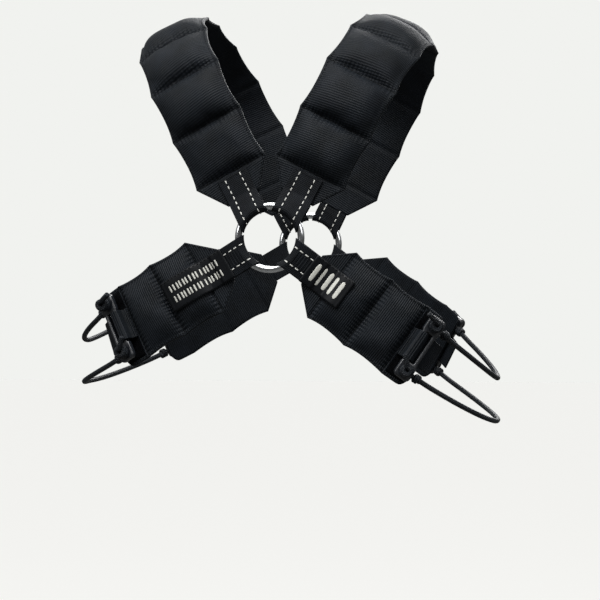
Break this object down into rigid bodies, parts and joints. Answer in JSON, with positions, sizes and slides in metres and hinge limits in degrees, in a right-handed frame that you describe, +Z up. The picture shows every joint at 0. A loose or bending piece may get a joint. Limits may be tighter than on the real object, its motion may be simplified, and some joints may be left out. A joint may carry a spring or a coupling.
{
  "type": "weighted vest",
  "caption": "Harness vest of sand-filled padded straps that meet at a steel ring on back and chest, tied round the sides with elastic cords",
  "frame": {"origin": "midway between the shoulders, at the height where the shoulder pads' inner face crosses them", "axes": "+X to the wearer's right, +Y the way the wearer faces, +Z up; the picture shows the back, which faces -Y"},
  "size_m": [0.3452, 0.2261, 0.3336],
  "materials": {
    "padding": "matte",
    "webbing": "matte",
    "label": "satin",
    "cord": "matte",
    "bar": "satin",
    "ring": "polished"
  },
  "bodies": {
    "root": {"shoulder_pad_left": "padding", "shoulder_pad_right": "padding", "back_ring": "ring", "shoulder_loop_back_left": "webbing", "flank_loop_back_left": "webbing", "flank_pad_back_left": "padding", "cord_bar_back_left": "bar", "bar_webbing_back_left": "webbing", "cord_knot_upper_back_left": "cord", "cord_knot_lower_back_left": "cord", "shoulder_loop_back_right": "webbing", "flank_loop_back_right": "webbing", "flank_pad_back_right": "padding", "cord_bar_back_right": "bar", "bar_webbing_back_right": "webbing", "cord_knot_upper_back_right": "cord", "cord_knot_lower_back_right": "cord", "chest_ring": "ring", "shoulder_loop_chest_left": "webbing", "flank_loop_chest_left": "webbing", "flank_pad_chest_left": "padding", "cord_bar_chest_left": "bar", "bar_webbing_chest_left": "webbing", "cord_knot_upper_chest_left": "cord", "cord_knot_lower_chest_left": "cord", "shoulder_loop_chest_right": "webbing", "flank_loop_chest_right": "webbing", "flank_pad_chest_right": "padding", "cord_bar_chest_right": "bar", "bar_webbing_chest_right": "webbing", "cord_knot_upper_chest_right": "cord", "cord_knot_lower_chest_right": "cord", "side_cord_upper_left": "cord", "side_cord_lower_left": "cord", "label_left": "label", "side_cord_upper_right": "cord", "side_cord_lower_right": "cord", "label_right": "label"}
  },
  "joints": []
}
